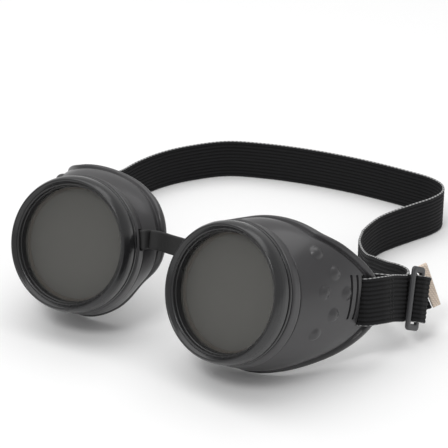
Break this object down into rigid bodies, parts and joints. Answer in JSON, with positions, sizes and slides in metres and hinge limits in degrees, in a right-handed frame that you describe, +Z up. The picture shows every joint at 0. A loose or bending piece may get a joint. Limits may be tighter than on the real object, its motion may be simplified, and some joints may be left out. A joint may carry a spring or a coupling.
{
  "type": "welding goggles",
  "caption": "Round-lens welding goggles: two vented eyecups with screw-on lens rings, a flexible nose bridge and an elastic head strap with a slider.",
  "frame": {"origin": "on the table, under the middle of the whole object's box", "axes": "+Z up from the table, the lenses look along -Y and a little up, +X runs from the cup without the slider to the cup with it"},
  "size_m": [0.1944, 0.208, 0.0681],
  "materials": {
    "cup_plastic": "glossy moulded black, finely textured",
    "ring_plastic": "satin moulded black",
    "slider_plastic": "satin moulded black",
    "elastic": "ribbed woven elastic",
    "thread": "sewing thread",
    "binding": "folded cotton tape",
    "clear_glass": "polished clear",
    "shade_glass": "polished dark green",
    "fibre": "pressed fibre",
    "dark_rubber": "matte black",
    "steel": "drawn wire"
  },
  "bodies": {
    "cup_right": {"eyecup_right": "cup_plastic", "vent_baffle_right": "dark_rubber", "bridge_pin_right": "steel", "bridge_strip": "dark_rubber", "strap_loop_right": "elastic", "stitching_right": "thread", "strap_side": "elastic", "head_strap": "elastic"},
    "cup_left": {"eyecup_left": "cup_plastic", "vent_baffle_left": "dark_rubber", "bridge_pin_left": "steel", "strap_loop_left": "elastic", "stitching_left": "thread"},
    "lens_stack_right": {"cover_lens_right": "clear_glass", "lens_separator_right": "fibre", "filter_lens_right": "shade_glass", "lens_gasket_right": "dark_rubber"},
    "lens_stack_left": {"cover_lens_left": "clear_glass", "lens_separator_left": "fibre", "filter_lens_left": "shade_glass", "lens_gasket_left": "dark_rubber"},
    "ring_right": {"screw_ring_right": "ring_plastic"},
    "ring_left": {"screw_ring_left": "ring_plastic"},
    "slider": {"strap_slider": "slider_plastic", "strap_fold": "elastic", "strap_end_binding": "binding"}
  },
  "joints": [
    {"name": "bridge_flex", "type": "hinge", "parent": "cup_right", "child": "cup_left", "pos_m": [0.00385, -0.0707, 0.0434], "axis": [0, 0, 1], "range_deg": [-18, 10], "deforming": ["bridge_strip", "head_strap"]},
    {"name": "lens_travel_right", "type": "slide", "parent": "cup_right", "child": "lens_stack_right", "axis": [-0.0926, -0.9277, 0.3616], "range_m": [0, 0.005]},
    {"name": "ring_spin_right", "type": "hinge", "parent": "lens_stack_right", "child": "ring_right", "pos_m": [0.04335, -0.09245, 0.0415], "axis": [-0.0926, -0.9277, 0.3616], "range_deg": [0, 720]},
    {"name": "lens_travel_left", "type": "slide", "parent": "cup_left", "child": "lens_stack_left", "axis": [0.0926, -0.9277, 0.3616], "range_m": [0, 0.005]},
    {"name": "ring_spin_left", "type": "hinge", "parent": "lens_stack_left", "child": "ring_left", "pos_m": [-0.03565, -0.09245, 0.0415], "axis": [0.0926, -0.9277, 0.3616], "range_deg": [0, 720]},
    {"name": "slider_slide", "type": "slide", "parent": "cup_right", "child": "slider", "axis": [0.1292, 0.9343, -0.3322], "range_m": [-0.006, 0.004], "deforming": ["strap_loop_right", "strap_side"]}
  ],
  "couplings": [
    {"joint": "lens_travel_right", "follows": "ring_spin_right", "m_per_rad": 0.0003978},
    {"joint": "lens_travel_left", "follows": "ring_spin_left", "m_per_rad": 0.0003978}
  ]
}
